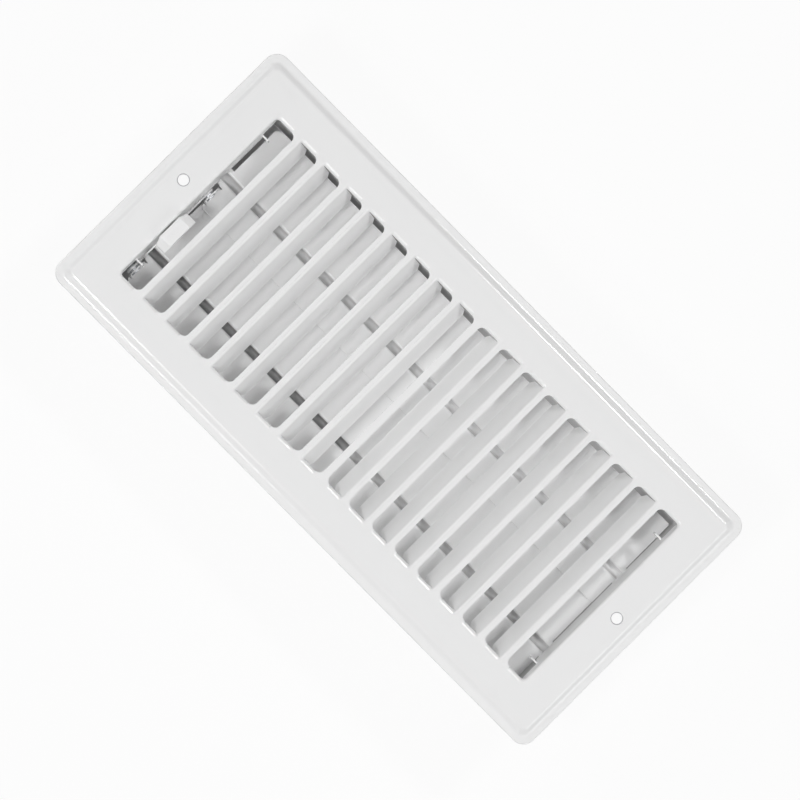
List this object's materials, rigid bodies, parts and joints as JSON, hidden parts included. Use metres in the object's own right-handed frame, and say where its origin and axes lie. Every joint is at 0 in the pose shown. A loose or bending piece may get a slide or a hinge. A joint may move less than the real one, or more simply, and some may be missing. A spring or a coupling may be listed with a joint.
{
  "type": "ceiling register",
  "caption": "Rectangular white steel ceiling register with a stamped two-way louver face, a stepped rim and a linked damper behind it that a small knob opens.",
  "frame": {"origin": "midway between the two screw holes, on the underside of the face", "axes": "+X along the long side with the lever at the -X end, +Y across the face, +Z out of the face into the room"},
  "size_m": [0.289, 0.137, 0.0648],
  "materials": {
    "face_paint": "glossy white baked enamel",
    "box_paint": "white baked enamel",
    "blade_paint": "glossy white baked enamel",
    "rivet_steel": "zinc plated",
    "link_paint": "white baked enamel",
    "knob_plastic": "smooth white moulded plastic"
  },
  "bodies": {
    "register": {"face_plate": "face_paint", "damper_box": "box_paint"},
    "upper_blade": {"damper_blade_1": "blade_paint", "crank_rivet_1": "rivet_steel"},
    "lower_blade": {"damper_blade_2": "blade_paint", "crank_rivet_2": "rivet_steel"},
    "lever": {"link_bar": "link_paint", "lever_knob": "knob_plastic"}
  },
  "joints": [
    {"name": "upper_blade_pivot", "type": "hinge", "parent": "register", "child": "upper_blade", "pos_m": [0, 0.015, -0.0272], "axis": [-1, 0, 0], "range_deg": [0, 80]},
    {"name": "lower_blade_pivot", "type": "hinge", "parent": "register", "child": "lower_blade", "pos_m": [0, -0.0303, -0.0272], "axis": [-1, 0, 0], "range_deg": [0, 80]},
    {"name": "link_pivot", "type": "hinge", "parent": "upper_blade", "child": "lever", "pos_m": [-0.12116, 0.00398, -0.01847], "axis": [-1, 0, 0], "range_deg": [-80, 0]}
  ],
  "couplings": [
    {"joint": "lower_blade_pivot", "follows": "upper_blade_pivot", "ratio": 1},
    {"joint": "link_pivot", "follows": "upper_blade_pivot", "ratio": -1}
  ]
}
